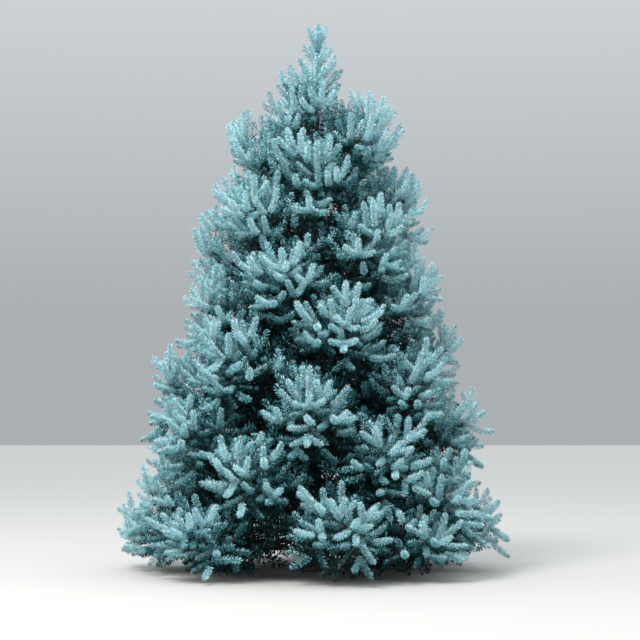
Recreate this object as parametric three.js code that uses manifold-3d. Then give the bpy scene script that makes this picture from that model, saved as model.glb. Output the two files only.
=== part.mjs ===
// A garden blue spruce about 2.9 m tall: a straight tapering trunk, boughs that sweep out and up from it in
// a rising spiral, and on each bough a mass of needle-clad sprays that keeps to its own space. Millimetres,
// +Z up. The origin is the centre of the flat cut under the trunk, at ground level, and -Y is the front.
import * as THREE from "three";
import { mergeVertices } from "three/addons/utils/BufferGeometryUtils.js";
import Module from "manifold-3d";

const wasm = await Module();
wasm.setup();

// Driving dimensions
const SEED = 145;
const CLEARANCE = 0.3;
const GROUND_GAP = 12;
const TREE_TOP = 2905;

const TRUNK = {
  top: 2500,
  cutAbove: 20,
  footRadius: 50,
  topRadius: 8,
  taper: 0.9,
  flare: 26,
  flareHeight: 75,
  buttresses: 5,
  buttressShare: 0.35,
  leanX: 26,
  leanY: -12,
  sides: 10,
  steps: 11,
  lowRingsCloser: 1.6,
};

// How far the crown reaches from the trunk at a few heights above the ground.
const CROWN = [
  [0, 940],
  [190, 1075],
  [420, 970],
  [900, 905],
  [1150, 815],
  [1450, 715],
  [1830, 645],
  [2230, 515],
  [2450, 455],
  [2620, 340],
  [2720, 160],
];

// The boughs stand round the trunk in a rising spiral, each with about the same patch of the crown's surface,
// so they are closer above each other where the crown is wide, and closest in the skirt near the ground. Low
// ones are long and nearly level, high ones steep.
const SPIRAL = {
  lowest: 110,
  highest: 2400,
  patch: 248000,
  skirt: 8,
  skirtPitch: 0.45,
  turn: 137.5,
  firstTurn: 259.2,
  riseLow: 75,
  riseHigh: 300,
  limbs: 10,
  bareLow: 0.34,
  bareHigh: 0.2,
};

// A bough leaves the trunk nearly level, sags a little where it is long, and turns up towards its tip.
const BOUGH = {
  firstBend: [0.36, 0.16],
  lastBend: [0.8, 0.46],
  sagShare: 0.05,
  sagFrom: 400,
  rootRadius: 14,
  rootAt: 1000,
  tipRadius: 3,
  trunkShare: 0.5,
  collar: 0.15,
  collarLength: 0.05,
  turnJitter: 5,
  reachJitter: 0.05,
  sides: 5,
  steps: 3,
};

// How the wood divides. Each bough ends in a spray and carries more sprays at rings of buds, counted from its
// tip: how far back the ring is, how long its sprays are, their angle to the bough, and where they stand round
// it, from 0 level at one side over 90 on top to 180 level at the other. The third ring is only on long boughs.
const RINGS = [
  { back: 170, length: 210, spread: 45, rolls: [25, 155] },
  { back: 310, length: 300, spread: 50, rolls: [90, 212, 328] },
  { back: 480, length: 410, spread: 54, rolls: [16, 164], from: 780 },
];
const GROWTH = { clad: 240, uplift: 0.26, lengthJitter: 0.1, angleJitter: 8, bareLeft: 40 };

// The leader stands in two rings of upright sprays.
const LEADER_RINGS = [
  { back: 190, length: 182, spread: 28, rolls: [20, 110, 200, 290] },
  { back: 330, length: 190, spread: 46, rolls: [65, 155, 245, 335] },
];

// A spray is a slim core in which bunches of needles stand as teeth: rings of long and short corners in turn.
const SPRAY = { radius: 54, valley: 0.42, rings: [0.3, 0.6], widths: [0.6, 1], corners: 4, forward: 0.1 };
const STALK = { rootRadius: 6, tipRadius: 4.5, checkedAt: [0.25, 0.6] };

// Where there is no room for a whole spray a smaller one is tried: a share of the radius for the one that ends
// a bough, and for the others a share of the length, one of the radius, and a turn about the bough in degrees.
const END_WIDTHS = [1, 0.8, 0.6, 0.45];
const TRIES = [
  [1, 1, 0],
  [0.9, 0.85, 15],
  [0.9, 0.85, -15],
  [0.8, 0.85, 0],
  [0.8, 0.7, 25],
  [0.8, 0.7, -25],
];
const STEM = { sides: 4, steps: 1, intoLeader: 0.08 };

// The crown is dense, so each mass has a smaller core that the sprays stand out of: a flat body round the
// bough, as wide as the twigs behind each point are long, with long and short corners in turn.
const CORE = {
  fromBare: 0.06,
  toTip: 150,
  widthPerBack: 0.38,
  widthLeast: 60,
  widthMost: 210,
  heightLeast: 40,
  above: 0.3,
  below: 0.2,
  tooth: 0.2,
  margin: 14,
  narrowest: 12,
  stride: 6,
  sides: 8,
  steps: 3,
};

const MATERIALS = {
  bark: { color: 0x6b5a4c, roughness: 0.9, metalness: 0 },
  boughBark: { color: 0x5f4c40, roughness: 0.9, metalness: 0 },
  foliage: { color: 0x8fb6bb, roughness: 0.7, metalness: 0 },
};

const AXIS_SAMPLES = 24;
const NEARLY_UPRIGHT = 0.2;
const UP = new THREE.Vector3(0, 0, 1);
const radians = THREE.MathUtils.degToRad;

// The same numbers come from the same seed each time.
function seeded(seed) {
  let state = seed * 7919 + 17;
  return () => {
    state = (state * 1664525 + 1013904223) % 4294967296;
    return state / 4294967296;
  };
}

const jittered = (random, most) => (2 * random() - 1) * most;

function trunkAxis(height) {
  const share = height / TRUNK.top;
  return new THREE.Vector3(TRUNK.leanX * share * share, TRUNK.leanY * Math.sin(Math.PI * share), height);
}

function trunkRadius(height) {
  const share = THREE.MathUtils.clamp(height / TRUNK.top, 0, 1);
  const flare = TRUNK.flare * Math.exp(-height / TRUNK.flareHeight);
  return TRUNK.footRadius + (TRUNK.topRadius - TRUNK.footRadius) * share ** TRUNK.taper + flare;
}

// The bough's own axes at a point: along it, sideways, and up out of its plane.
function frameAt(curve, share) {
  const along = curve.getTangentAt(share);
  const side = new THREE.Vector3().crossVectors(along, UP);
  if (side.length() < NEARLY_UPRIGHT) side.set(1, 0, 0).addScaledVector(along, -along.x);
  side.normalize();
  return { along, side, up: new THREE.Vector3().crossVectors(side, along) };
}

// A direction that leaves a bough at one angle to it, turned round it by another: 0 is sideways and 90 is up.
function leaving(frame, spread, roll) {
  const [s, r] = [radians(spread), radians(roll)];
  return new THREE.Vector3()
    .addScaledVector(frame.along, Math.cos(s))
    .addScaledVector(frame.side, Math.sin(s) * Math.cos(r))
    .addScaledVector(frame.up, Math.sin(s) * Math.sin(r));
}

// A twig of this length that starts off straight and bends up towards the light.
function twigCurve(start, direction, length) {
  const middle = start.clone().addScaledVector(direction, length * 0.5);
  const end = start
    .clone()
    .addScaledVector(direction, length)
    .addScaledVector(UP, length * GROWTH.uplift);
  const reach = end.clone().sub(start).length() / length;
  return new THREE.QuadraticBezierCurve3(start, middle, start.clone().lerp(end, 1 / reach));
}

// The stretch of a curve between two shares of its length, as a curve of its own.
function stretch(curve, from, to) {
  const [a, m, b] = [from, (from + to) / 2, to].map((share) => curve.getPointAt(share));
  const bend = m.multiplyScalar(2).addScaledVector(a, -0.5).addScaledVector(b, -0.5);
  return new THREE.QuadraticBezierCurve3(a, bend, b);
}

function crownReach(height) {
  const above = CROWN.findIndex(([level]) => level > height);
  const [[lowLevel, lowReach], [highLevel, highReach]] = [CROWN[above - 1], CROWN[above]];
  return lowReach + ((highReach - lowReach) * (height - lowLevel)) / (highLevel - lowLevel);
}

function boughCurve(height, turn, random) {
  const raised = (height - SPIRAL.lowest) / (SPIRAL.highest - SPIRAL.lowest);
  const rise = SPIRAL.riseLow + (SPIRAL.riseHigh - SPIRAL.riseLow) * raised;
  const reach = crownReach(height + rise) * (1 - random() * BOUGH.reachJitter);
  const sag = Math.max(0, reach - BOUGH.sagFrom) * BOUGH.sagShare;
  const root = trunkAxis(height);
  const outward = new THREE.Vector3(Math.cos(turn), Math.sin(turn), 0);
  const at = (out, up) => root.clone().addScaledVector(outward, reach * out).addScaledVector(UP, up);
  const [firstOut, firstUp] = BOUGH.firstBend;
  const [lastOut, lastUp] = BOUGH.lastBend;
  const firstBend = at(firstOut, rise * firstUp - sag);
  return new THREE.CubicBezierCurve3(root, firstBend, at(lastOut, rise * lastUp - sag), at(1, rise));
}

// The boughs from the lowest up, and the leader that carries on from the trunk's tip.
function layOutBoughs() {
  const boughs = [];
  let height = SPIRAL.lowest;
  while (height < SPIRAL.highest) {
    const number = boughs.length + 1;
    const random = seeded(SEED + number);
    const turn = radians(SPIRAL.firstTurn + SPIRAL.turn * number + jittered(random, BOUGH.turnJitter));
    const curve = boughCurve(height, turn, random);
    const limb = number <= SPIRAL.limbs;
    boughs.push({ number, random, curve, limb, bare: limb ? SPIRAL.bareLow : SPIRAL.bareHigh });
    const pitch = SPIRAL.patch / (2 * Math.PI * crownReach(curve.v3.z));
    height += pitch * (number < SPIRAL.skirt ? SPIRAL.skirtPitch : 1);
  }
  const foot = trunkAxis(TRUNK.top);
  const leader = new THREE.LineCurve3(foot, new THREE.Vector3(foot.x, foot.y, TREE_TOP));
  boughs.push({ number: 0, random: seeded(SEED), curve: leader, limb: false, bare: 0 });
  return boughs;
}

const boughs = layOutBoughs();
for (const bough of boughs) {
  bough.samples = bough.curve.getSpacedPoints(AXIS_SAMPLES);
  bough.bareWood = bough.limb ? bough.samples.slice(0, Math.ceil(bough.bare * AXIS_SAMPLES)) : [];
}

const nearest = (point, samples) => Math.min(...samples.map((sample) => sample.distanceTo(point)));

// A mass keeps to the points that are nearer to its own bough than to any other. This is how much room is
// left round a point before that border, or before the trunk, the ground or its own bare limb.
function roomAt(point, own) {
  const others = boughs.filter((bough) => bough !== own).map((bough) => nearest(point, bough.samples));
  const border = (Math.min(...others) - nearest(point, own.samples)) / 2;
  const height = Math.min(point.z, TRUNK.top);
  const trunk = point.distanceTo(trunkAxis(height)) - trunkRadius(height);
  const limb = own.limb ? nearest(point, own.bareWood) - BOUGH.rootRadius : Infinity;
  return Math.min(border, trunk, point.z - GROUND_GAP, limb) - 2 * CLEARANCE;
}

// Whether there is room for a spray along its stalk, at its teeth and at its tip.
function sprayFits({ curve, radius, neck }, own) {
  const clear = (share, width) => roomAt(curve.getPointAt(share), own) > width;
  const teeth = SPRAY.rings.map((share) => neck + (1 - neck) * (share + SPRAY.forward));
  const stalk = neck > 0 ? STALK.checkedAt.map((share) => neck * share) : [];
  return (
    stalk.every((share) => clear(share, STALK.rootRadius)) &&
    teeth.every((share, i) => clear(share, radius * SPRAY.widths[i])) &&
    clear(1, 0)
  );
}

// A spray whose needles clothe its last stretch, or all of it where it is short.
function sprayAlong(curve, radius) {
  return { curve, radius, neck: Math.max(0, 1 - GROWTH.clad / curve.getLength()) };
}

// The first spray that has room, of the wished one and the smaller ones.
function fittedSpray(bough, share, length, spread, roll) {
  const start = bough.curve.getPointAt(share);
  const frame = frameAt(bough.curve, share);
  for (const [longer, wider, turn] of TRIES) {
    const curve = twigCurve(start, leaving(frame, spread, roll + turn), length * longer);
    const spray = sprayAlong(curve, SPRAY.radius * wider);
    if (sprayFits(spray, bough)) return [spray];
  }
  return [];
}

// The sprays of one bough by the rule of growth, with the one that it ends in first.
function growMass(bough) {
  const { curve, random } = bough;
  const length = curve.getLength();
  const end = stretch(curve, 1 - GROWTH.clad / length, 1);
  const widths = END_WIDTHS.filter((wider) => sprayFits(sprayAlong(end, SPRAY.radius * wider), bough));
  const sprays = [sprayAlong(end, SPRAY.radius * (widths[0] ?? END_WIDTHS.at(-1)))];
  const turned = (angle) => angle + jittered(random, GROWTH.angleJitter);
  const clad = length * (1 - bough.bare) - GROWTH.bareLeft;
  for (const ring of bough.number === 0 ? LEADER_RINGS : RINGS) {
    if (ring.back > clad || length < (ring.from ?? 0)) break;
    for (const roll of ring.rolls) {
      const wished = ring.length * (1 + jittered(random, GROWTH.lengthJitter));
      const share = 1 - ring.back / length;
      sprays.push(...fittedSpray(bough, share, wished, turned(ring.spread), turned(roll)));
    }
  }
  return sprays;
}

// Moves a shape that stands on the Y axis from 0 to 1 so that it follows a curve.
function follow(geometry, curve) {
  const places = geometry.getAttribute("position");
  const chord = curve.getPointAt(1).sub(curve.getPointAt(0));
  const level = Math.hypot(chord.x, chord.y) > NEARLY_UPRIGHT * chord.length();
  const reference = level ? new THREE.Vector3().crossVectors(chord, UP) : new THREE.Vector3(1, 0, 0);
  const local = new THREE.Vector3();
  for (let i = 0; i < places.count; i++) {
    local.fromBufferAttribute(places, i);
    const share = THREE.MathUtils.clamp(local.y, 0, 1);
    const along = curve.getTangentAt(share);
    const across = reference.clone().addScaledVector(along, -reference.dot(along)).normalize();
    const other = new THREE.Vector3().crossVectors(across, along);
    const place = curve.getPointAt(share).addScaledVector(across, local.x).addScaledVector(other, local.z);
    places.setXYZ(i, place.x, place.y, place.z);
  }
  return geometry;
}

// A closed bar from 0 to 1 on the Y axis whose radius is a function of the share of its length and the angle,
// and whose rings stand closer to its start where crowding is over 1.
function bar(radius, sides, steps, crowding = 1) {
  const geometry = new THREE.CylinderGeometry(1, 1, 1, sides, steps).translate(0, 0.5, 0);
  const places = geometry.getAttribute("position");
  for (let i = 0; i < places.count; i++) {
    const [x, z] = [places.getX(i), places.getZ(i)];
    const share = places.getY(i) ** crowding;
    const size = Math.hypot(x, z) > 0.5 ? radius(share, Math.atan2(z, x)) : 0;
    places.setXYZ(i, x * size, share, z * size);
  }
  return geometry;
}

// How far the core reaches from its bough at a share of its length and an angle round it, 0 being sideways.
function coreReach(bough, curve, share, angle) {
  const { side, up } = frameAt(curve, share);
  const centre = curve.getPointAt(share);
  const back = CORE.toTip + curve.getLength() * (1 - share);
  const width = THREE.MathUtils.clamp(back * CORE.widthPerBack, CORE.widthLeast, CORE.widthMost);
  const height = CORE.heightLeast + back * (Math.sin(angle) > 0 ? CORE.above : CORE.below);
  const corner = Math.round((angle * CORE.sides) / (2 * Math.PI)) + Math.round(share * CORE.steps);
  const tooth = corner % 2 === 0 ? -CORE.tooth : CORE.tooth;
  const wished = (1 + tooth) / Math.hypot(Math.cos(angle) / width, Math.sin(angle) / height);
  const outward = side.multiplyScalar(Math.cos(angle)).addScaledVector(up, Math.sin(angle));
  const roomFor = (reach) => roomAt(centre.clone().addScaledVector(outward, reach), bough) > CORE.margin;
  let reached = CORE.narrowest;
  while (reached < wished && roomFor(reached)) reached += CORE.stride;
  return Math.min(reached, wished);
}

function coreSolid(bough) {
  const curve = stretch(bough.curve, bough.bare + CORE.fromBare, 1 - CORE.toTip / bough.curve.getLength());
  const radius = (share, angle) => coreReach(bough, curve, share, angle);
  return solidFrom(follow(bar(radius, CORE.sides, CORE.steps), curve));
}

// A spray on the Y axis from 0 to 1: a bare stalk up to its neck, where it has one, and then its teeth.
function sprayShape({ radius, neck }) {
  const profile = [new THREE.Vector2(0, 0)];
  if (neck > 0) {
    profile.push(new THREE.Vector2(STALK.rootRadius, 0));
    profile.push(new THREE.Vector2(STALK.tipRadius, neck));
  }
  const firstTooth = profile.length;
  SPRAY.rings.forEach((share, i) => {
    profile.push(new THREE.Vector2(radius * SPRAY.widths[i], neck + (1 - neck) * share));
  });
  profile.push(new THREE.Vector2(0, 1));
  const geometry = new THREE.LatheGeometry(profile, SPRAY.corners);
  const places = geometry.getAttribute("position");
  const rows = profile.length;
  for (let i = 0; i < places.count; i++) {
    const [corner, row] = [Math.floor(i / rows), i % rows];
    if (row < firstTooth || row === rows - 1) continue;
    const tooth = (corner + row) % 2 === 0;
    const width = tooth ? 1 : SPRAY.valley;
    const forward = tooth ? SPRAY.forward * (1 - neck) : 0;
    places.setXYZ(i, places.getX(i) * width, places.getY(i) + forward, places.getZ(i) * width);
  }
  return geometry;
}

function solidFrom(geometry) {
  geometry.deleteAttribute("normal");
  geometry.deleteAttribute("uv");
  const merged = mergeVertices(geometry, 1e-3);
  const vertProperties = merged.attributes.position.array;
  const triVerts = new Uint32Array(merged.index.array);
  const made = new wasm.Manifold(new wasm.Mesh({ numProp: 3, vertProperties, triVerts }));
  if (made.volume() > 0) return made;
  for (let i = 0; i < triVerts.length; i += 3) {
    [triVerts[i + 1], triVerts[i + 2]] = [triVerts[i + 2], triVerts[i + 1]];
  }
  return new wasm.Manifold(new wasm.Mesh({ numProp: 3, vertProperties, triVerts }));
}

// Joins solids into one body. A scrap that hangs loose is dropped, and a sealed hollow is filled.
function fused(solids) {
  const bodies = wasm.Manifold.union(solids).decompose();
  return bodies.reduce((largest, body) => (body.volume() > largest.volume() ? body : largest));
}

function meshFrom(solid, name, look) {
  const made = solid.getMesh();
  const geometry = new THREE.BufferGeometry();
  geometry.setAttribute("position", new THREE.BufferAttribute(new Float32Array(made.vertProperties), 3));
  geometry.setIndex(new THREE.BufferAttribute(new Uint32Array(made.triVerts), 1));
  geometry.computeVertexNormals();
  const mesh = new THREE.Mesh(geometry, new THREE.MeshStandardMaterial({ ...look, flatShading: true }));
  mesh.name = name;
  return mesh;
}

// The trunk, or the same shape a little thicker to cut what meets it clear of it. It is made a little too long
// at the foot and cut off flat at the ground.
function trunkSolid(grownBy) {
  const heightAt = (share) => share * (TRUNK.top + TRUNK.cutAbove) - TRUNK.cutAbove;
  const radius = (share, angle) => {
    const height = Math.max(0, heightAt(share));
    const flare = TRUNK.flare * Math.exp(-height / TRUNK.flareHeight);
    const lobes = TRUNK.buttressShare * flare * Math.cos(TRUNK.buttresses * angle);
    return trunkRadius(height) + lobes + grownBy;
  };
  const axis = new THREE.CatmullRomCurve3([0, 0.25, 0.5, 0.75, 1].map((share) => trunkAxis(heightAt(share))));
  const whole = solidFrom(follow(bar(radius, TRUNK.sides, TRUNK.steps, TRUNK.lowRingsCloser), axis));
  return whole.trimByPlane([0, 0, 1], 0);
}

function boughRadius(bough, share) {
  const thick = Math.min(1, bough.curve.getLength() / BOUGH.rootAt);
  const grown = BOUGH.tipRadius + (BOUGH.rootRadius - BOUGH.tipRadius) * thick;
  const root = Math.min(grown, BOUGH.trunkShare * trunkRadius(bough.curve.getPoint(0).z));
  const collar = 1 + BOUGH.collar * Math.exp(-share / BOUGH.collarLength);
  return (root + (BOUGH.tipRadius - root) * share) * collar;
}

function woodAlong(bough, from, to, { sides, steps }) {
  const radius = (share) => boughRadius(bough, from + (to - from) * share);
  return solidFrom(follow(bar(radius, sides, steps), stretch(bough.curve, from, to)));
}

const trunkCutter = trunkSolid(CLEARANCE);

// The bare inner part of a low bough, from the trunk to just short of its mass.
function limbSolid(bough) {
  const end = bough.bare - CLEARANCE / bough.curve.getLength();
  return fused([woodAlong(bough, 0, end, BOUGH).subtract(trunkCutter)]);
}

// The stem of a mass, which starts at the tip of its limb, on the trunk's side or, for the leader, on its tip.
function stemSolid(bough) {
  const length = bough.curve.getLength();
  if (bough.number === 0) {
    return woodAlong(bough, CLEARANCE / length, 1 - GROWTH.clad / length + STEM.intoLeader, STEM);
  }
  const start = bough.limb ? bough.bare : 0;
  const stem = woodAlong(bough, start, bough.bare + 2 * CORE.fromBare, STEM);
  return bough.limb ? stem : stem.subtract(trunkCutter);
}

function massSolid(bough) {
  const solids = growMass(bough).map((spray) => solidFrom(follow(sprayShape(spray), spray.curve)));
  solids.push(stemSolid(bough));
  if (bough.number > 0) solids.push(coreSolid(bough));
  return fused(solids);
}

const tree = new THREE.Group();
tree.add(meshFrom(trunkSolid(0), "trunk", MATERIALS.bark));
for (const bough of boughs) {
  const label = bough.number === 0 ? "leader" : String(bough.number).padStart(2, "0");
  if (bough.limb) tree.add(meshFrom(limbSolid(bough), `bough_${label}`, MATERIALS.boughBark));
  tree.add(meshFrom(massSolid(bough), `foliage_${label}`, MATERIALS.foliage));
}

export default tree;
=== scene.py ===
# A garden blue spruce about 2.9 m tall, rooted in the ground: bark, twigs, buds and needles on its boughs.
# Metres, +Z up. The origin is the centre of the trunk's flat cut at ground level, and -Y is the front.
import math

import bmesh
import bpy
import numpy as np
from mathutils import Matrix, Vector, noise


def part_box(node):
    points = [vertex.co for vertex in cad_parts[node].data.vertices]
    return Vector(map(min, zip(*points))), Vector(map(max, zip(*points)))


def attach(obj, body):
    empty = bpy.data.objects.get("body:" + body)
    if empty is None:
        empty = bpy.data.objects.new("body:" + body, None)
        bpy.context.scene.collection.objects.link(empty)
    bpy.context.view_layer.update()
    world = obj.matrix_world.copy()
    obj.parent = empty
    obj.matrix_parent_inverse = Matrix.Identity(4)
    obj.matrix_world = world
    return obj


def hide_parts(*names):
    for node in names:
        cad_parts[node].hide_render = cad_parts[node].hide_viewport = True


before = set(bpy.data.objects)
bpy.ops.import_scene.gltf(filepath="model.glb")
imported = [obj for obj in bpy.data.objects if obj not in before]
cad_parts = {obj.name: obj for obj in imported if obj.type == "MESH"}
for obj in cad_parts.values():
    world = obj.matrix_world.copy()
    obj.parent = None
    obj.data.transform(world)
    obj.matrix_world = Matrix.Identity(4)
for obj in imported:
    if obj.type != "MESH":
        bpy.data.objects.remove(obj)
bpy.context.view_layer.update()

# The trunk is one straight leading stem of wood under thin grey-brown bark in small scales, with a slight
# lean and a flared foot. It is a round bar cut into many rings, moved to their places, with the scales
# raised on it.
TRUNK_TOP = 2.5
FOOT_RADIUS = 0.05
TOP_RADIUS = 0.008
TAPER = 0.9
FLARE = 0.026
FLARE_HEIGHT = 0.075
BUTTRESSES = 5
BUTTRESS_SHARE = 0.35
LEAN_X = 0.026
LEAN_Y = -0.012
TRUNK_SIDES = 44
TRUNK_CUTS = 210
CUTS_CROWD_DOWN = 1.15
FLAT_END = 0.9
CRACK_STEEPNESS = 4
SCALE_HEIGHT = 0.55


def trunk_axis(height):
    share = height / TRUNK_TOP
    return np.array([LEAN_X * share**2, LEAN_Y * math.sin(math.pi * share), height])


def trunk_radius(height):
    share = min(max(height / TRUNK_TOP, 0), 1)
    taper = (TOP_RADIUS - FOOT_RADIUS) * share**TAPER
    return FOOT_RADIUS + taper + FLARE * math.exp(-height / FLARE_HEIGHT)


def raise_scales(shape, width, height, relief):
    """Moves the sides of a piece of bark out, but not in the cracks between its scales."""
    shape.normal_update()
    for vert in shape.verts:
        if abs(vert.normal.z) > FLAT_END:
            continue
        spot = Vector((vert.co.x / width, vert.co.y / width, vert.co.z / height))
        near, second = noise.voronoi(spot)[0][:2]
        vert.co += vert.normal * relief * min(1, CRACK_STEEPNESS * (second - near))


def bark_material(name, pale, dark, crack, scales):
    """Bark in scales, so many to the metre: two browns, and darker in the cracks."""
    material = bpy.data.materials.new(name)
    material.use_nodes = True
    nodes = material.node_tree.nodes
    links = material.node_tree.links
    shader = nodes["Principled BSDF"]
    shader.inputs["Roughness"].default_value = 0.92
    shader.inputs["Specular IOR Level"].default_value = 0.2
    place = nodes.new("ShaderNodeTexCoord")
    stretch = nodes.new("ShaderNodeMapping")
    stretch.inputs["Scale"].default_value = (scales, scales, scales * SCALE_HEIGHT)
    links.new(place.outputs["Object"], stretch.inputs["Vector"])
    cells = nodes.new("ShaderNodeTexVoronoi")
    cells.feature = "DISTANCE_TO_EDGE"
    cells.inputs["Scale"].default_value = 1
    grain = nodes.new("ShaderNodeTexNoise")
    grain.inputs["Scale"].default_value = 1.6
    grain.inputs["Detail"].default_value = 6
    for texture in (cells, grain):
        links.new(stretch.outputs["Vector"], texture.inputs["Vector"])
    edge = nodes.new("ShaderNodeMapRange")
    edge.inputs["From Max"].default_value = 0.1
    links.new(cells.outputs["Distance"], edge.inputs["Value"])
    browns = nodes.new("ShaderNodeMix")
    browns.data_type = "RGBA"
    browns.inputs["A"].default_value = (*dark, 1)
    browns.inputs["B"].default_value = (*pale, 1)
    links.new(grain.outputs["Fac"], browns.inputs["Factor"])
    cracked = nodes.new("ShaderNodeMix")
    cracked.data_type = "RGBA"
    cracked.inputs["A"].default_value = (*crack, 1)
    links.new(edge.outputs["Result"], cracked.inputs["Factor"])
    links.new(browns.outputs["Result"], cracked.inputs["B"])
    links.new(cracked.outputs["Result"], shader.inputs["Base Color"])
    bump = nodes.new("ShaderNodeBump")
    bump.inputs["Strength"].default_value = 0.4
    bump.inputs["Distance"].default_value = 0.001
    links.new(grain.outputs["Fac"], bump.inputs["Height"])
    links.new(bump.outputs["Normal"], shader.inputs["Normal"])
    return material


def grow_trunk():
    shape = bmesh.new()
    bmesh.ops.create_cone(shape, cap_ends=True, segments=TRUNK_SIDES, radius1=1, radius2=1, depth=1)
    upright = [edge for edge in shape.edges if abs(edge.verts[0].co.z - edge.verts[1].co.z) > 0.5]
    bmesh.ops.subdivide_edges(shape, edges=upright, cuts=TRUNK_CUTS)
    for vert in shape.verts:
        height = TRUNK_TOP * (vert.co.z + 0.5) ** CUTS_CROWD_DOWN
        angle = math.atan2(vert.co.y, vert.co.x)
        flare = FLARE * math.exp(-height / FLARE_HEIGHT)
        radius = trunk_radius(height) + BUTTRESS_SHARE * flare * math.cos(BUTTRESSES * angle)
        vert.co = Vector(trunk_axis(height)) + radius * Vector((math.cos(angle), math.sin(angle), 0))
    raise_scales(shape, width=0.016, height=0.03, relief=0.002)
    for vert in shape.verts:
        vert.co.z = max(vert.co.z, 0)
    return shape


def add_piece(name, mesh, *materials):
    piece = bpy.data.objects.new(name, mesh)
    bpy.context.scene.collection.objects.link(piece)
    for material in materials:
        mesh.materials.append(material)
    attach(piece, "root")
    return piece


trunk_shape = grow_trunk()
trunk_mesh = bpy.data.meshes.new("trunk_bark")
trunk_shape.to_mesh(trunk_mesh)
trunk_shape.free()
trunk_mesh.shade_smooth()
trunk_bark = bark_material(
    "trunk_bark",
    pale=(0.2, 0.165, 0.135),
    dark=(0.11, 0.085, 0.068),
    crack=(0.035, 0.026, 0.02),
    scales=55,
)
trunk = add_piece("trunk_bark", trunk_mesh, trunk_bark)
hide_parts("trunk")

# The boughs stand round the trunk in a rising spiral, closest in the skirt near the ground. Each is one
# limb of wood under rough tan bark that leaves the trunk nearly level and turns up at its tip: a thin
# round rod bent along its curve. The leader carries straight on from the trunk's tip.
SEED = 145
TREE_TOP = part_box("foliage_leader")[1].z
CROWN_LEVELS = [0, 0.19, 0.42, 0.9, 1.15, 1.45, 1.83, 2.23, 2.45, 2.62, 2.72]
CROWN_REACHES = [0.94, 1.075, 0.97, 0.905, 0.815, 0.715, 0.645, 0.515, 0.455, 0.34, 0.16]
LOWEST_BOUGH = 0.11
HIGHEST_BOUGH = 2.4
CROWN_PATCH = 0.248
SKIRT_BOUGHS = 8
SKIRT_PITCH = 0.45
SPIRAL_TURN = 137.5
FIRST_TURN = 259.2
TURN_JITTER = 5
RISE_LOW = 0.075
RISE_HIGH = 0.3
LIMBS = 10
BARE_LOW = 0.34
BARE_HIGH = 0.2
FIRST_BEND = (0.36, 0.16)
LAST_BEND = (0.8, 0.46)
SAG_SHARE = 0.05
SAG_FROM = 0.4
REACH_JITTER = 0.05
BOUGH_ROOT = 0.014
BOUGH_TIP = 0.003
BARK_OVER_WOOD = 1.1
MOST_OF_TRUNK = 0.5
ROD_END = 0.14
ROD_STEPS = 32
UP = np.array([0.0, 0.0, 1.0])
SIDEWAYS = np.array([1.0, 0.0, 0.0])


def seeded(seed):
    """A draw of numbers from 0 to 1, the same ones from the same seed each time."""
    state = seed * 7919 + 17
    while True:
        state = (state * 1664525 + 1013904223) % 2**32
        yield state / 2**32


def jittered(draw, most):
    return (2 * next(draw) - 1) * most


def bezier(*corners, steps=200):
    """A path of evenly spaced points along the curve between its corners."""
    share = np.linspace(0, 1, steps + 1)[:, None]
    while len(corners) > 1:
        corners = [(1 - share) * here + share * there for here, there in zip(corners, corners[1:])]
    points = corners[0]
    travelled = np.append(0, np.cumsum(np.linalg.norm(np.diff(points, axis=0), axis=1)))
    even = np.linspace(0, travelled[-1], steps + 1)
    return np.stack([np.interp(even, travelled, points[:, axis]) for axis in range(3)], axis=1)


def span(path):
    return np.linalg.norm(np.diff(path, axis=0), axis=1).sum()


def place(path, share):
    """The point at a share of a path's length, and the direction there."""
    spot = share * (len(path) - 1)
    index = min(int(spot), len(path) - 2)
    step = path[index + 1] - path[index]
    return path[index] + (spot - index) * step, step / np.linalg.norm(step)


def stretch_of(path, start, end, steps=12):
    """The stretch of a path between two shares of its length, as a path of its own."""
    return np.array([place(path, share)[0] for share in np.linspace(start, end, steps + 1)])


def crown_reach(height):
    return np.interp(height, CROWN_LEVELS, CROWN_REACHES)


def bough_path(height, turn, draw):
    raised = (height - LOWEST_BOUGH) / (HIGHEST_BOUGH - LOWEST_BOUGH)
    rise = RISE_LOW + (RISE_HIGH - RISE_LOW) * raised
    reach = crown_reach(height + rise) * (1 - next(draw) * REACH_JITTER)
    sag = max(0, reach - SAG_FROM) * SAG_SHARE
    outward = np.array([math.cos(turn), math.sin(turn), 0])
    root = trunk_axis(height)
    first = root + outward * reach * FIRST_BEND[0] + UP * (rise * FIRST_BEND[1] - sag)
    last = root + outward * reach * LAST_BEND[0] + UP * (rise * LAST_BEND[1] - sag)
    return bezier(root, first, last, root + outward * reach + UP * rise)


def lay_out_boughs():
    found = []
    height = LOWEST_BOUGH
    while height < HIGHEST_BOUGH:
        number = len(found) + 1
        draw = seeded(SEED + number)
        turn = math.radians(FIRST_TURN + SPIRAL_TURN * number + jittered(draw, TURN_JITTER))
        path = bough_path(height, turn, draw)
        limb = number <= LIMBS
        bare = BARE_LOW if limb else BARE_HIGH
        node = f"foliage_{number:02d}"
        found.append({"node": node, "draw": draw, "path": path, "limb": limb, "bare": bare})
        pitch = CROWN_PATCH / (2 * math.pi * crown_reach(path[-1][2]))
        height += pitch * (SKIRT_PITCH if number < SKIRT_BOUGHS else 1)
    foot = trunk_axis(TRUNK_TOP)
    path = bezier(foot, np.array([foot[0], foot[1], TREE_TOP]))
    found.append({"node": "foliage_leader", "draw": seeded(SEED), "path": path, "limb": False, "bare": 0})
    for own, bough in enumerate(found):
        bough["own"] = own
        bough["length"] = span(bough["path"])
    return found


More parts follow.
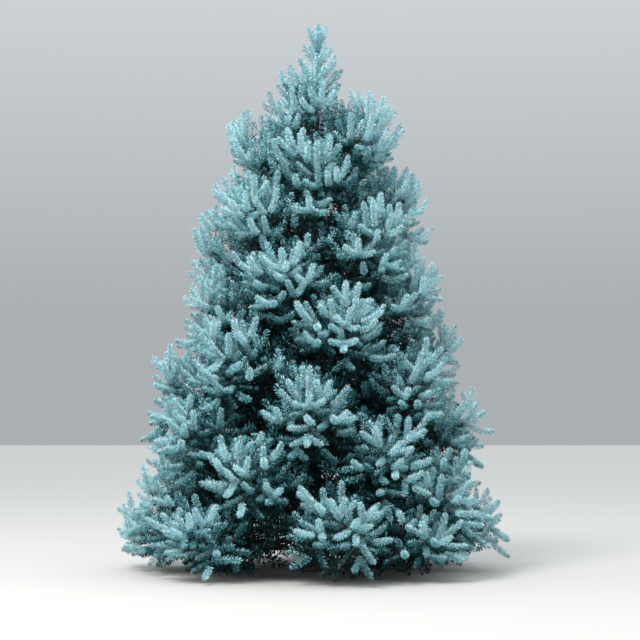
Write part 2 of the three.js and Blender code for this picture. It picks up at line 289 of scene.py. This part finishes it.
def rods(name, strands, sides, capped=True):
    """The mesh of many round rods, each given by its path and its two end radii."""
    curve = bpy.data.curves.new(name, "CURVE")
    curve.dimensions = "3D"
    curve.bevel_depth = 1
    curve.bevel_resolution = (sides - 4) // 2
    curve.use_fill_caps = capped
    for path, start, end in strands:
        spline = curve.splines.new("POLY")
        spline.points.add(len(path) - 1)
        corners = np.column_stack([path, np.ones(len(path))])
        spline.points.foreach_set("co", corners.ravel())
        spline.points.foreach_set("radius", np.linspace(start, end, len(path)))
    rod = bpy.data.objects.new(name, curve)
    mesh = bpy.data.meshes.new_from_object(rod)
    bpy.data.objects.remove(rod)
    return mesh


boughs = lay_out_boughs()
leader = boughs[-1]
bough_strands = []
for bough in boughs:
    strength = BOUGH_TIP + (BOUGH_ROOT - BOUGH_TIP) * min(1, bough["length"])
    wood = min(strength, MOST_OF_TRUNK * trunk_radius(bough["path"][0][2]))
    if bough is leader:
        wood = TOP_RADIUS
    rod_path = stretch_of(bough["path"], 0, 1 - ROD_END / bough["length"], steps=ROD_STEPS)
    bough_strands.append((rod_path, BARK_OVER_WOOD * wood, BOUGH_TIP))
bough_mesh = rods("bough_bark", bough_strands, sides=10)
bough_shape = bmesh.new()
bough_shape.from_mesh(bough_mesh)
raise_scales(bough_shape, width=0.008, height=0.008, relief=0.0009)
bough_shape.to_mesh(bough_mesh)
bough_shape.free()
bough_mesh.shade_smooth()
bough_bark = bark_material(
    "bough_bark",
    pale=(0.17, 0.115, 0.085),
    dark=(0.1, 0.066, 0.048),
    crack=(0.035, 0.024, 0.018),
    scales=110,
)
bough_wood = add_piece("bough_bark", bough_mesh, bough_bark)
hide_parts(*[f"bough_{number:02d}" for number in range(1, LIMBS + 1)])

# The twigs branch from each bough by the same rule as its solid mass, which keeps to the points nearer to
# its own bough than to any other. They are thin brown rods of wood that bend up to the light. Their paths
# come first, and they are made further on, with the stems of the shoots that they carry.
GROUND_GAP = 0.012
SPRAY_RADIUS = 0.054
SPRAY_TEETH = ((0.4, 0.6), (0.7, 1))
STALK_RADIUS = 0.006
STALK_CHECKS = (0.25, 0.6)
CLAD = 0.24
UPLIFT = 0.26
LENGTH_JITTER = 0.1
ANGLE_JITTER = 8
BARE_LEFT = 0.04
RINGS = [
    {"back": 0.17, "length": 0.21, "spread": 45, "rolls": (25, 155), "from": 0},
    {"back": 0.31, "length": 0.3, "spread": 50, "rolls": (90, 212, 328), "from": 0},
    {"back": 0.48, "length": 0.41, "spread": 54, "rolls": (16, 164), "from": 0.78},
]
TRIES = ((1, 1, 0), (0.9, 0.85, 15), (0.9, 0.85, -15), (0.8, 0.85, 0), (0.8, 0.7, 25), (0.8, 0.7, -25))
TWIG_STEPS = 12
AXIS_SAMPLES = 24
NEARLY_UPRIGHT = 0.2

bough_points = np.array([stretch_of(bough["path"], 0, 1, steps=AXIS_SAMPLES) for bough in boughs])


def room_at(point, own):
    """How much room a point has before the next bough's space, the trunk, the ground or bare wood."""
    gaps = np.linalg.norm(bough_points - point, axis=2)
    nearest = gaps.min(axis=1)
    mine = nearest[own]
    nearest[own] = np.inf
    height = min(point[2], TRUNK_TOP)
    trunk_gap = np.linalg.norm(point - trunk_axis(height)) - trunk_radius(height)
    room = min((nearest.min() - mine) / 2, trunk_gap, point[2] - GROUND_GAP)
    if boughs[own]["limb"]:
        bare = math.ceil(boughs[own]["bare"] * AXIS_SAMPLES)
        room = min(room, gaps[own][:bare].min() - BOUGH_ROOT)
    return room


def unit(vector):
    return vector / np.linalg.norm(vector)


def twig_corners(path, share, length, spread, roll, uplift=UPLIFT):
    """A twig at one angle to its path, rolled round it by another: 0 is sideways and 90 is up."""
    start, along = place(path, share)
    side = np.cross(along, UP)
    if np.linalg.norm(side) < NEARLY_UPRIGHT:
        side = SIDEWAYS - along[0] * along
    side = unit(side)
    above = np.cross(side, along)
    roll = math.radians(roll)
    spread = math.radians(spread)
    sideways = side * math.cos(roll) + above * math.sin(roll)
    direction = along * math.cos(spread) + sideways * math.sin(spread)
    end = start + unit(direction + uplift * UP) * length
    return start, start + direction * length / 2, end


def has_room(path, radius, own):
    neck = max(0, 1 - CLAD / span(path))
    stalk = [neck * share for share in STALK_CHECKS] if neck > 0 else []
    if any(room_at(place(path, share)[0], own) <= STALK_RADIUS for share in stalk):
        return False
    teeth = [(neck + (1 - neck) * share, width) for share, width in SPRAY_TEETH]
    if any(room_at(place(path, share)[0], own) <= radius * width for share, width in teeth):
        return False
    return room_at(path[-1], own) > 0


def fitted_twig(bough, share, length, spread, roll):
    for longer, wider, turn in TRIES:
        corners = twig_corners(bough["path"], share, length * longer, spread, roll + turn)
        path = bezier(*corners, steps=TWIG_STEPS)
        if has_room(path, SPRAY_RADIUS * wider, bough["own"]):
            return path
    return None


def main_twigs(bough):
    """The twigs that stand where the sprays of the solid mass stand, with the bough's own tip first."""
    length = bough["length"]
    draw = bough["draw"]
    twigs = [stretch_of(bough["path"], 1 - CLAD / length, 1)]
    for ring in RINGS:
        if ring["back"] > length * (1 - bough["bare"]) - BARE_LEFT or length < ring["from"]:
            break
        for roll in ring["rolls"]:
            wished = ring["length"] * (1 + jittered(draw, LENGTH_JITTER))
            spread = ring["spread"] + jittered(draw, ANGLE_JITTER)
            turned = roll + jittered(draw, ANGLE_JITTER)
            path = fitted_twig(bough, 1 - ring["back"] / length, wished, spread, turned)
            if path is not None:
                twigs.append(path)
    return twigs


# The shoots are the last two or three years' growth. Each twig ends in a leading shoot, with whorls of
# shorter ones behind it. They all turn up to the light, most at the top of the tree. One that would crowd
# another one or leave its own bough's space is left out.
LEAD_LOW = 0.12
LEAD_HIGH = 0.15
LEAD_TRIES = (1, 0.88, 0.76, 0.64, 0.52)
LEAST_TWIG = 0.08
TIP_ROOM = 0.018
WHORLS = [
    {"length": 0.76, "spread": 44, "rolls": (-8, 40, 90, 140, 188)},
    {"length": 0.92, "spread": 52, "rolls": (-25, 18, 65, 115, 162, 205)},
    {"length": 0.95, "spread": 56, "rolls": (-10, 38, 90, 142, 190, 250, 290)},
    {"length": 0.95, "spread": 58, "rolls": (-25, 18, 65, 115, 162, 205, 270)},
]
FIRST_WHORL = 0.02
WHORL_STEP = 0.07
LAST_WHORL = 0.03
SIDE_TRIES = (1, 0.8, 0.64)
SIDE_LIFT = 0.5
BRANCHLET = 0.22
BRANCHLET_SPREAD = 52
BRANCHLET_ROLLS = (0, 180, 60, 120)
BRANCHLET_LIFT = 0.2
BRANCHLET_WHORLS = 2
SHOOT_STEPS = 8
LIFT_HEIGHTS = [0.1, 0.5, 1.2, 2.2, 2.6]
LIFTS = [0.12, 0.26, 0.42, 0.85, 1.4]
MAIN_RADII = (0.0042, 0.0022)
BRANCHLET_RADII = (0.003, 0.002)

# How deep in the crown the outer, inner and old shoots end, and how near to each other they may stand.
# Those of one twig, which are one hand, may stand nearer. A cell is wider than any gap.
INNER_DEPTH = 0.15
OLD_DEPTH = 0.3
BARE_DEPTH = 0.6
OUTER_GAP = 0.045
INNER_GAP = 0.038
OLD_GAP = 0.034
HAND_GAP = 0.038
CELL = 0.05

# How far a shoot may reach past the middle between two boughs, past its solid mass's box and past the
# crown's outline, which ends in a slim top. Further in than FREE_DEPTH it may leave the box.
OUTER_OVERLAP = 0.035
INNER_OVERLAP = 0.07
OVER_BOX = 0.016
FREE_DEPTH = 0.06
OVER_CROWN = 0.03
TOP_LEVELS = [2.3, 2.48, 2.56, 2.63, 2.7, 2.8]
TOP_REACHES = [1.2, 0.48, 0.35, 0.24, 0.16, 0.12]
LEAST_HEIGHT = 0.03
ROOM_CHECKS = (0.5, 0.94)
TAKEN_MARKS = (0.3, 0.6, 0.94)

shoots = []
twig_rods = []
taken = {}
for bough in boughs:
    low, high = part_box(bough["node"])
    bough["low"] = np.array(low) - OVER_BOX
    bough["high"] = np.array(high) + OVER_BOX


def lift_at(height):
    return np.interp(height, LIFT_HEIGHTS, LIFTS)


def depth_of(point):
    """How deep a point stands in the crown."""
    return max(0, crown_reach(point[2]) - math.hypot(point[0], point[1]))


def leaves_crown(point):
    most = min(crown_reach(point[2]) + OVER_CROWN, np.interp(point[2], TOP_LEVELS, TOP_REACHES))
    return math.hypot(point[0], point[1]) > most


def cell_of(point):
    return tuple(int(value // CELL) for value in point)


def is_crowded(point, gap, hand):
    """Whether another shoot is nearer than a gap, which is smaller between shoots of the same twig."""
    home = cell_of(point)
    for x in (-1, 0, 1):
        for y in (-1, 0, 1):
            for z in (-1, 0, 1):
                for other, other_hand in taken.get((home[0] + x, home[1] + y, home[2] + z), ()):
                    least = min(gap, HAND_GAP) if other_hand == hand else gap
                    if math.dist(other, point) < least:
                        return True
    return False


def stands_free(corners, bough, hand=None):
    """Whether a shoot is clear of the others and within its bough's space, or deep in the crown."""
    foot, bend, tip = corners
    depth = depth_of(tip)
    if leaves_crown(tip) or depth > BARE_DEPTH:
        return False
    overlap = OUTER_OVERLAP if depth < INNER_DEPTH else INNER_OVERLAP
    gap = OUTER_GAP if depth < INNER_DEPTH else INNER_GAP if depth < OLD_DEPTH else OLD_GAP
    for share in ROOM_CHECKS:
        point = (1 - share) ** 2 * foot + 2 * share * (1 - share) * bend + share**2 * tip
        outside = (point < bough["low"]).any() or (point > bough["high"]).any()
        if point[2] < LEAST_HEIGHT or (outside and depth_of(point) < FREE_DEPTH):
            return False
        if is_crowded(point, gap, hand) or room_at(point, bough["own"]) < -overlap:
            return False
    return True


def kind_at(point):
    depth = depth_of(point)
    if depth < INNER_DEPTH or point[2] > leader["path"][0][2]:
        return "outer"
    return "inner" if depth < OLD_DEPTH else "old"


def add_shoot(path, bough, hand):
    """Adds a shoot, of the kind that grows as deep in the crown as its tip."""
    for share in TAKEN_MARKS:
        point = tuple(place(path, share)[0])
        taken.setdefault(cell_of(point), []).append((point, hand))
    shoots.append({"path": path, "own": bough["own"], "kind": kind_at(path[-1])})


def lead_length(height):
    return LEAD_LOW + (LEAD_HIGH - LEAD_LOW) * height / TREE_TOP


def end_in_shoot(path, bough, hand):
    """Puts a leading shoot on the last stretch of a twig, and returns the share where it starts."""
    length = span(path)
    wished = lead_length(path[-1][2]) * (1 + jittered(bough["draw"], LENGTH_JITTER))
    start = max(LEAST_TWIG, 1 - wished / length)
    foot, along = place(path, start)
    lifted = unit(along + lift_at(foot[2]) * UP)
    reach = (1 - start) * length
    for shorter in LEAD_TRIES:
        tip = foot + lifted * reach * shorter
        if tip[2] < bough["high"][2] - TIP_ROOM and not leaves_crown(tip):
            break
    add_shoot(bezier(foot, foot + along * reach * shorter / 2, tip, steps=SHOOT_STEPS), bough, hand)
    return start


def grow_branchlets(path, share, bough):
    """Puts small twigs of their own on an older stretch of a twig, where there is room for them."""
    draw = bough["draw"]
    for roll in BRANCHLET_ROLLS:
        spread = BRANCHLET_SPREAD + jittered(draw, ANGLE_JITTER)
        turned = roll + jittered(draw, 2 * ANGLE_JITTER)
        lift = BRANCHLET_LIFT * lift_at(path[-1][2])
        corners = twig_corners(path, share, BRANCHLET, spread, turned, uplift=lift)
        if stands_free(corners, bough):
            branchlet = bezier(*corners, steps=SHOOT_STEPS)
            hand = len(twig_rods)
            start = end_in_shoot(branchlet, bough, hand)
            twig_rods.append((stretch_of(branchlet, 0, start, steps=2), *BRANCHLET_RADII))
            clothe(branchlet, start, bough, hand, WHORLS[:BRANCHLET_WHORLS])


def clothe(path, start, bough, hand, whorls=WHORLS):
    """Puts whorls of side shoots on a twig, from the foot of its leading shoot back to its own foot."""
    draw = bough["draw"]
    length = span(path)
    lead = lead_length(path[-1][2])
    lift = SIDE_LIFT * lift_at(path[-1][2])
    share = start + FIRST_WHORL / length
    for number, whorl in enumerate(whorls):
        if share * length < LAST_WHORL:
            break
        if number >= BRANCHLET_WHORLS:
            grow_branchlets(path, share, bough)
        for roll in whorl["rolls"]:
            wished = lead * whorl["length"] * (1 + jittered(draw, LENGTH_JITTER))
            spread = whorl["spread"] + jittered(draw, ANGLE_JITTER)
            turned = roll + jittered(draw, 2 * ANGLE_JITTER)
            for longer in SIDE_TRIES:
                corners = twig_corners(path, share, wished * longer, spread, turned, uplift=lift)
                if stands_free(corners, bough, hand):
                    add_shoot(bezier(*corners, steps=SHOOT_STEPS), bough, hand)
                    break
        share -= WHORL_STEP / length


# The leader is the tree's own leading shoot. It stands straight up on last year's stem, which carries
# whorls of strong side shoots, the uppermost nearly upright and the lowest nearly level.
LEADER_SHOOT = 0.155
LEADER_BARE = 0.04
LEADER_WHORLS = [
    {"back": 0.15, "length": 0.13, "spread": 28, "arms": 5},
    {"back": 0.225, "length": 0.125, "spread": 48, "arms": 5},
    {"back": 0.3, "length": 0.15, "spread": 57, "arms": 6},
    {"back": 0.37, "length": 0.17, "spread": 62, "arms": 6},
    {"back": 0.4, "length": 0.15, "spread": 80, "arms": 5},
]
LEADER_ROLL = 20
LEADER_ROLL_STEP = 38
LEADER_UPLIFT = 0.3


def dress_leader():
    path = leader["path"]
    draw = leader["draw"]
    start = 1 - LEADER_SHOOT / leader["length"]
    add_shoot(stretch_of(path, start, 1 - TIP_ROOM / leader["length"]), leader, None)
    add_shoot(stretch_of(path, LEADER_BARE, start), leader, None)
    for number, whorl in enumerate(LEADER_WHORLS):
        for arm in range(whorl["arms"]):
            roll = LEADER_ROLL + LEADER_ROLL_STEP * number + 360 * arm / whorl["arms"]
            turned = roll + jittered(draw, ANGLE_JITTER)
            length = whorl["length"] * (1 + jittered(draw, LENGTH_JITTER))
            share = 1 - whorl["back"] / leader["length"]
            spread = whorl["spread"] + jittered(draw, 0.5 * ANGLE_JITTER)
            corners = twig_corners(path, share, length, spread, turned, uplift=LEADER_UPLIFT)
            add_shoot(bezier(*corners, steps=SHOOT_STEPS), leader, None)


dress_leader()
grown = [(bough, path) for bough in boughs[:-1] for path in main_twigs(bough)]
starts = []
for bough, path in grown:
    starts.append(end_in_shoot(path, bough, len(twig_rods)))
    twig_rods.append((stretch_of(path, 0, starts[-1], steps=6), *MAIN_RADII))
for hand, ((bough, path), start) in enumerate(zip(grown, starts)):
    clothe(path, start, bough, hand)

# Between the main twigs a bough carries more small ones all round, each as long as its space allows. The
# longer ones have side shoots, and the short ones are single shoots on a bit of twig.
FILLER_FROM = 0.1
FILLER_TURN = 97
FILLER_SPREAD = 60
FILLER_JITTER = 14
FILLER_LENGTHS = (0.34, 0.27, 0.21, 0.15, 0.1)
FILLER_LIFT = 0.35
FILLER_RADII = (0.0034, 0.002)
LEAST_DRESSED = 0.18
LIMB_FILLERS = {"arms": 8, "step": 0.04}
STEM_FILLERS = {"arms": 5, "step": 0.05}
STEM_BARE = 0.06
LEFT_BARE = 0.02


def grow_filler(bough, share, roll):
    """Puts the longest twig that has room on a bough."""
    spread = FILLER_SPREAD + jittered(bough["draw"], FILLER_JITTER)
    lift = FILLER_LIFT * lift_at(bough["path"][-1][2])
    for length in FILLER_LENGTHS:
        corners = twig_corners(bough["path"], share, length, spread, roll, uplift=lift)
        if stands_free(corners, bough):
            path = bezier(*corners, steps=TWIG_STEPS)
            hand = len(twig_rods)
            start = end_in_shoot(path, bough, hand)
            twig_rods.append((stretch_of(path, 0, start, steps=2), *FILLER_RADII))
            if length > LEAST_DRESSED:
                clothe(path, start, bough, hand)
            return


for bough in boughs[:-1]:
    fillers = LIMB_FILLERS if bough["limb"] else STEM_FILLERS
    bare = bough["bare"] if bough["limb"] else STEM_BARE
    roll = next(bough["draw"]) * 360
    back = FILLER_FROM
    while back < bough["length"] * (1 - bare) - LEFT_BARE:
        for arm in range(fillers["arms"]):
            roll += FILLER_TURN
            grow_filler(bough, 1 - back / bough["length"], roll)
        back += fillers["step"]

# The needles are stiff waxy blades that stand in a spiral round their shoot and close in a tuft at its
# tip. Their own colour is silver-blue on new shoots and darker on older ones deep in the crown, where
# one stands for several. Their tones also carry painted shade: darker on needles that point down, on
# shoots under others or lying level, and deeper in the crown. Each is two faces, folded along the middle.
NEEDLES_PER_METRE = {"outer": 1350, "inner": 520, "old": 200}
NEEDLE_LENGTH = {"outer": 0.0242, "inner": 0.026, "old": 0.042}
NEEDLE_WIDTH = {"outer": 0.0042, "inner": 0.0064, "old": 0.0098}
GOLDEN_TURN = math.radians(SPIRAL_TURN)
NEEDLE_TURN_JITTER = 0.25
NEEDLE_SPREAD = 64
NEEDLE_SPREAD_JITTER = 4
NEEDLE_LENGTHS = (0.93, 1.05)
NEEDLE_TWIST = 1.2
WIDEST_AT = 0.68
FOLD_SHARE = 0.15
TUFT_SHARE = 0.09
TUFT_FROM = 0.95
TUFT_SPREAD = 0.1
TUFT_LENGTHS = (0.95, 0.7)
SPREAD_LOST_AT_TIP = 12
LENGTH_LOST_AT_TIP = 0.3
GROUND_TOUCH = 0.002
STEEPEST = 0.95
# The tones run from the new needles' silver-blue to near black. The darker ones are partly the older
# needles' own colour and partly painted shade.
TONES = [
    ("needles_silver", (0.5, 0.76, 0.81)),
    ("needles_pale", (0.31, 0.59, 0.64)),
    ("needles_blue", (0.16, 0.4, 0.44)),
    ("needles_teal", (0.052, 0.205, 0.23)),
    ("needles_deep", (0.013, 0.078, 0.086)),
    ("needles_dark", (0.003, 0.024, 0.026)),
]
NEEDLE_TONE_JITTER = 0.35
# How many tones darker a needle that points straight down is, as painted shade.
UNDERSIDE_SHADE = 1.2


def needle_material(name, colour):
    material = bpy.data.materials.new(name)
    material.use_nodes = True
    shader = material.node_tree.nodes["Principled BSDF"]
    shader.inputs["Base Color"].default_value = (*colour, 1)
    shader.inputs["Roughness"].default_value = 0.65
    shader.inputs["Specular IOR Level"].default_value = 0.15
    return material


def needles_round(shoot):
    """The corners of a shoot's needles, which are foot, left, tip and right of each, and their tones."""
    path = shoot["path"]
    kind = shoot["kind"]
    count = int(span(path) * NEEDLES_PER_METRE[kind])
    in_tuft = int(count * TUFT_SHARE)
    below_tuft = count - in_tuft
    share = np.append((np.arange(below_tuft) + 0.5) / below_tuft, np.linspace(TUFT_FROM, 1, in_tuft))
    spot = share * (len(path) - 1)
    index = np.minimum(spot.astype(int), len(path) - 2)
    step = path[index + 1] - path[index]
    foot = path[index] + (spot - index)[:, None] * step
    along = step / np.linalg.norm(step, axis=1)[:, None]
    reference = UP if abs(along[0][2]) < STEEPEST else SIDEWAYS
    side = np.cross(along, reference)
    side /= np.linalg.norm(side, axis=1)[:, None]
    above = np.cross(side, along)
    turn = np.arange(count) * GOLDEN_TURN + chance.normal(0, NEEDLE_TURN_JITTER, count)
    outward = side * np.cos(turn)[:, None] + above * np.sin(turn)[:, None]
    lean = NEEDLE_SPREAD - SPREAD_LOST_AT_TIP * share**8
    spread = np.radians(lean + chance.normal(0, NEEDLE_SPREAD_JITTER, count))
    spread[below_tuft:] *= np.linspace(1, TUFT_SPREAD, in_tuft)
    size = NEEDLE_LENGTH[kind] * (1 - LENGTH_LOST_AT_TIP * share**10)
    size *= chance.uniform(*NEEDLE_LENGTHS, count)
    size[below_tuft:] *= np.linspace(*TUFT_LENGTHS, in_tuft)
    direction = along * np.cos(spread)[:, None] + outward * np.sin(spread)[:, None]
    tangent = np.cross(along, outward)
    twist = chance.uniform(-NEEDLE_TWIST, NEEDLE_TWIST, count)
    normal = np.cross(direction, tangent)
    flat = tangent * np.cos(twist)[:, None] + normal * np.sin(twist)[:, None]
    ridge = np.cross(direction, flat)
    width = NEEDLE_WIDTH[kind]
    middle = foot + direction * (WIDEST_AT * size)[:, None] - ridge * width * FOLD_SHARE
    tip = foot + direction * size[:, None]
    half = flat * width / 2
    corners = np.stack([foot, middle - half, tip, middle + half], axis=1)
    corners[:, :, 2] = np.maximum(corners[:, :, 2], GROUND_TOUCH)
    # Painted shade: a needle that points down is darker than one that points up.
    tones = shoot["tone"] - UNDERSIDE_SHADE * outward[:, 2] + chance.normal(0, NEEDLE_TONE_JITTER, count)
    return corners, np.clip(np.round(tones), 0, len(TONES) - 1).astype(int)


# Painted shade: a shoot is darker the more shoots stand over it, the deeper it is in the crown and the
# more level it is. The least tone of inner and old shoots is partly their older needles' own colour and
# partly painted shade.
COVER_AHEAD = 0.1
COVER_UP = 0.8
COVER_OUT = 0.6
COVER_REACH = 0.095
SHOOTS_A_TONE = 4
DEPTH_A_TONE = 0.14
LEVEL_SLOPE = 0.3
LEVEL_SHADE = 1.4
SHOOT_TONE_JITTER = 0.3
SHOOT_MIDDLE = 0.6
LEAST_TONE = {"outer": 0.3, "inner": 1.6, "old": 3.4}

needle_materials = [needle_material(name, colour) for name, colour in TONES]
chance = np.random.default_rng(SEED)
middles = np.array([place(shoot["path"], SHOOT_MIDDLE)[0] for shoot in shoots])
for shoot in shoots:
    tip = shoot["path"][-1]
    slope = unit(tip - shoot["path"][0])[2]
    outward = unit(np.array([tip[0], tip[1], 0.0]))
    probe = tip + COVER_AHEAD * unit(COVER_UP * UP + COVER_OUT * outward)
    cover = (np.linalg.norm(middles - probe, axis=1) < COVER_REACH).sum()
    level = LEVEL_SHADE * max(0, LEVEL_SLOPE - slope)
    shade = cover / SHOOTS_A_TONE + depth_of(tip) / DEPTH_A_TONE + level
    shoot["tone"] = max(LEAST_TONE[shoot["kind"]], shade + chance.normal(0, SHOOT_TONE_JITTER))

# Needles also clothe the wood between the shoots, longer ones on its older half. Their dark tones are
# partly the old needles' own colour and partly painted shade inside the crown.
BOUGH_TONES = {"old": 4.6, "inner": 2.8}
TWIG_TONES = {"old": 4.2, "inner": 3}
BOUGH_HALFWAY = 0.5
PAST_BARE = 0.05
PAST_TRUNK = 0.04
TWIG_FOOT = 0.02


def clad(bough, path, shares, steps, tones):
    """Puts old needles on a path's first stretch and fresher ones on its second, between three shares."""
    start, halfway, end = shares
    older = stretch_of(path, start, halfway, steps)
    fresher = stretch_of(path, halfway, end, steps)
    shoots.append({"path": older, "own": bough["own"], "kind": "old", "tone": tones["old"]})
    shoots.append({"path": fresher, "own": bough["own"], "kind": "inner", "tone": tones["inner"]})


for bough in boughs[:-1]:
    start = bough["bare"] + PAST_BARE if bough["limb"] else PAST_TRUNK
    shares = (start, BOUGH_HALFWAY, 1 - ROD_END / bough["length"])
    clad(bough, bough["path"], shares, steps=8, tones=BOUGH_TONES)
for (bough, path), start in zip(grown, starts):
    clad(bough, path, (TWIG_FOOT, start / 2, start), steps=TWIG_STEPS, tones=TWIG_TONES)

# The needles are joined in pieces, one for each band of boughs from the skirt up. Each piece stands for
# the solid masses of its band.
MOST_NEEDLES = 93000


def add_needles(name, group):
    corners = []
    tones = []
    for shoot in group:
        blades, blade_tones = needles_round(shoot)
        corners.append(blades)
        tones.append(blade_tones)
    corners = np.concatenate(corners)
    tones = np.concatenate(tones)
    first = 4 * np.arange(len(corners))[:, None]
    faces = np.concatenate([first + (0, 1, 2), first + (0, 2, 3)], axis=1).reshape(-1, 3)
    mesh = bpy.data.meshes.new(name)
    mesh.from_pydata(corners.reshape(-1, 3), [], faces)
    mesh.polygons.foreach_set("material_index", np.repeat(tones, 2))
    return add_piece(name, mesh, *needle_materials)


counts = [int(span(shoot["path"]) * NEEDLES_PER_METRE[shoot["kind"]]) for shoot in shoots]
even_share = sum(counts) / math.ceil(sum(counts) / MOST_NEEDLES)
bands = [[]]
in_bands = 0
for bough in boughs:
    if in_bands > even_share * len(bands):
        bands.append([])
    group = [shoot for shoot in shoots if shoot["own"] == bough["own"]]
    bands[-1].append((bough, group))
    in_bands += sum(count for shoot, count in zip(shoots, counts) if shoot["own"] == bough["own"])
for number, band in enumerate(bands, start=1):
    piece = add_needles(f"needles_{number}", [shoot for _, group in band for shoot in group])
    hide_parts(*[bough["node"] for bough, _ in band])

# Each shoot grows on a thin stem. The stems of the year are pinkish tan, and older ones are brown like
# the twigs that carry them. All are thin four-sided rods, the twigs and older stems in one piece and the
# new ones in another.
OLD_STEM_RADII = (0.002, 0.0012)
YEAR_STEM_RADII = (0.0016, 0.001)
STEM_END = 0.97

twig_bark = bark_material(
    "twig_bark",
    pale=(0.09, 0.068, 0.055),
    dark=(0.055, 0.042, 0.034),
    crack=(0.02, 0.015, 0.012),
    scales=300,
)
young_bark = bark_material(
    "young_bark",
    pale=(0.52, 0.41, 0.37),
    dark=(0.4, 0.3, 0.27),
    crack=(0.25, 0.18, 0.16),
    scales=300,
)
stem_rods = []
for shoot in shoots:
    if shoot["kind"] == "outer":
        stem_rods.append((stretch_of(shoot["path"], 0, STEM_END, steps=2), *YEAR_STEM_RADII))
    else:
        twig_rods.append((stretch_of(shoot["path"], 0, STEM_END, steps=1), *OLD_STEM_RADII))
twig_mesh = rods("twigs", twig_rods, sides=4, capped=False)
twigs = add_piece("twigs", twig_mesh, twig_bark)
stem_mesh = rods("shoot_stems", stem_rods, sides=4, capped=False)
stems = add_piece("shoot_stems", stem_mesh, young_bark)

# A small blunt bud of tan scales ends each shoot of the year, and holds the next year's shoot. It sits in
# the tuft of needles at the tip, as a little lump of eight faces that is widest nearer its foot.
BUD_LENGTH = 0.011
BUD_RADIUS = 0.0036
BUD_WIDEST_AT = 0.4
BUD_PAST_TIP = 0.006
BUD_FACES = [(0, 2, 1), (0, 3, 2), (0, 4, 3), (0, 1, 4), (5, 1, 2), (5, 2, 3), (5, 3, 4), (5, 4, 1)]
ANY_SIDE = (0.3, 0.9, 0.1)

bud_corners = []
for shoot in shoots:
    if shoot["kind"] != "outer":
        continue
    tip, along = place(shoot["path"], 1)
    side = unit(np.cross(along, ANY_SIDE))
    above = np.cross(side, along)
    foot = tip + BUD_PAST_TIP * along
    widest = foot + BUD_WIDEST_AT * BUD_LENGTH * along
    ring = [widest + BUD_RADIUS * way for way in (side, above, -side, -above)]
    bud_corners.append([foot, *ring, foot + BUD_LENGTH * along])
first = 6 * np.arange(len(bud_corners))[:, None, None]
bud_faces = (first + np.array(BUD_FACES)).reshape(-1, 3)
bud_mesh = bpy.data.meshes.new("buds")
bud_mesh.from_pydata(np.array(bud_corners).reshape(-1, 3), [], bud_faces)
bud_scales = bpy.data.materials.new("bud_scales")
bud_scales.use_nodes = True
bud_shader = bud_scales.node_tree.nodes["Principled BSDF"]
bud_shader.inputs["Base Color"].default_value = (0.5, 0.32, 0.2, 1)
bud_shader.inputs["Roughness"].default_value = 0.7
buds = add_piece("buds", bud_mesh, bud_scales)

# The tree stands on a plain pale floor, which is no part of it, under a pale sky that is brightest
# overhead. One soft light stands at the upper left, and the camera looks a little upwards from the front.
floor_shape = bmesh.new()
bmesh.ops.create_grid(floor_shape, x_segments=1, y_segments=1, size=30)
floor_mesh = bpy.data.meshes.new("floor")
floor_shape.to_mesh(floor_mesh)
floor_shape.free()
floor_material = bpy.data.materials.new("floor")
floor_material.use_nodes = True
floor_shader = floor_material.node_tree.nodes["Principled BSDF"]
floor_shader.inputs["Base Color"].default_value = (0.5, 0.49, 0.47, 1)
floor_shader.inputs["Roughness"].default_value = 0.9
floor_mesh.materials.append(floor_material)
floor = bpy.data.objects.new("floor", floor_mesh)
bpy.context.scene.collection.objects.link(floor)

bpy.context.scene.view_settings.view_transform = "Standard"
world = bpy.data.worlds.new("studio")
world.use_nodes = True
sky = world.node_tree.nodes["Background"]
sky.inputs["Color"].default_value = (0.9, 0.96, 1, 1)
sky_place = world.node_tree.nodes.new("ShaderNodeTexCoord")
sky_height = world.node_tree.nodes.new("ShaderNodeSeparateXYZ")
sky_strength = world.node_tree.nodes.new("ShaderNodeMapRange")
sky_strength.inputs["From Min"].default_value = 0.05
sky_strength.inputs["From Max"].default_value = 0.9
sky_strength.inputs["To Min"].default_value = 0.45
sky_strength.inputs["To Max"].default_value = 1.6
world.node_tree.links.new(sky_place.outputs["Generated"], sky_height.inputs["Vector"])
world.node_tree.links.new(sky_height.outputs["Z"], sky_strength.inputs["Value"])
world.node_tree.links.new(sky_strength.outputs["Result"], sky.inputs["Strength"])
bpy.context.scene.world = world

LIGHT_SPOT = Vector((-3, -5, 8))
LIGHT_AIM = Vector((0, 0, 1.3))
lamp = bpy.data.lights.new("key", "AREA")
lamp.size = 3
lamp.energy = 880
lamp.color = (1, 0.98, 0.95)
light = bpy.data.objects.new("key", lamp)
light.location = LIGHT_SPOT
light.rotation_euler = (LIGHT_AIM - LIGHT_SPOT).to_track_quat("-Z", "Y").to_euler()
bpy.context.scene.collection.objects.link(light)

camera = bpy.data.objects.new("camera", bpy.data.cameras.new("camera"))
camera.data.lens = 105.2
camera.data.sensor_width = 36
camera.location = (0.037, -9.9, 0.88)
camera.rotation_euler = (math.radians(92.57), 0, 0)
bpy.context.scene.collection.objects.link(camera)
bpy.context.scene.camera = camera
